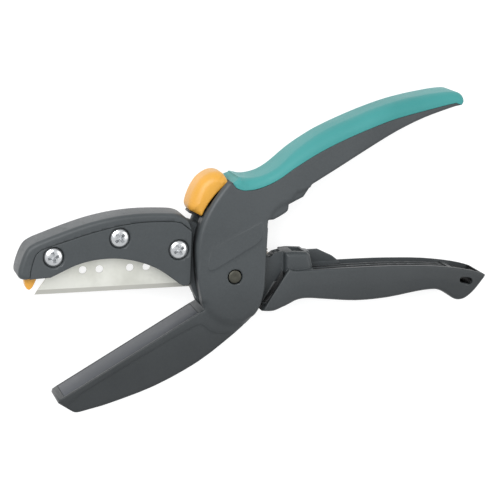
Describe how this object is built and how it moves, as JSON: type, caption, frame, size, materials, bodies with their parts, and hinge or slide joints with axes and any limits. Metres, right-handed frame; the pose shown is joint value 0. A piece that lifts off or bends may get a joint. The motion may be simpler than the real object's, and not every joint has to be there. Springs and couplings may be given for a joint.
{
  "type": "utility blade shears",
  "caption": "One-hand anvil shears that cut with a trapezoid utility blade, with a soft-grip handle, a sprung lever handle and a sliding thumb lock, shown open.",
  "frame": {"origin": "pivot axis on the resting face, the tool lying on one side", "axes": "+Z along the pivot axis, up from the resting face; +X from the jaws towards the handles, along the open blade's edge; +Y towards the soft-grip handle"},
  "size_m": [0.1822, 0.1162, 0.021],
  "materials": {
    "body_plastic": "satin moulded, fine grain",
    "grip": "matt soft-touch",
    "anvil": "satin",
    "lock_cap": "satin moulded",
    "lock_black": "moulded",
    "blade_steel": "ground",
    "zinc": "bright zinc plate",
    "pin_steel": "turned, oiled",
    "spring_steel": "drawn wire",
    "brass": "knurled",
    "bronze": "sintered"
  },
  "bodies": {
    "frame": {"main_body": "body_plastic", "soft_grip": "grip", "anvil_strip": "anvil", "pivot_pin": "pin_steel", "washer_far": "zinc", "washer_near": "zinc", "lock_guide_pin": "pin_steel", "lock_leaf": "spring_steel", "return_spring": "spring_steel"},
    "lever": {"blade_lever": "body_plastic", "pivot_bush": "bronze", "utility_blade": "blade_steel", "cover_plate": "body_plastic", "insert_front": "brass", "insert_middle": "brass", "insert_rear": "brass", "screw_front": "zinc", "screw_middle": "zinc", "screw_rear": "zinc", "catch_pin": "pin_steel", "catch_spring": "spring_steel"},
    "lock": {"thumb_lock": "lock_cap", "lock_slider": "lock_black"},
    "catch": {"blade_catch": "lock_cap"}
  },
  "joints": [
    {"name": "jaw_close", "type": "hinge", "parent": "frame", "child": "lever", "pos_m": [0, 0, 0.0105], "axis": [0, 0, 1], "range_deg": [0, 29.5], "stiffness_Nm_per_rad": 0.35, "springref_deg": -25.78, "deforming": ["return_spring"]},
    {"name": "lock_slide", "type": "hinge", "parent": "frame", "child": "lock", "pos_m": [0.0167, 0.0096, 0.0105], "axis": [0, 0, 1], "range_deg": [0, 3]},
    {"name": "catch_swing", "type": "hinge", "parent": "lever", "child": "catch", "pos_m": [-0.0774, 0.0082, 0.0105], "axis": [0, 0, -1], "range_deg": [0, 8], "stiffness_Nm_per_rad": 0.005, "springref_deg": -5.73}
  ]
}
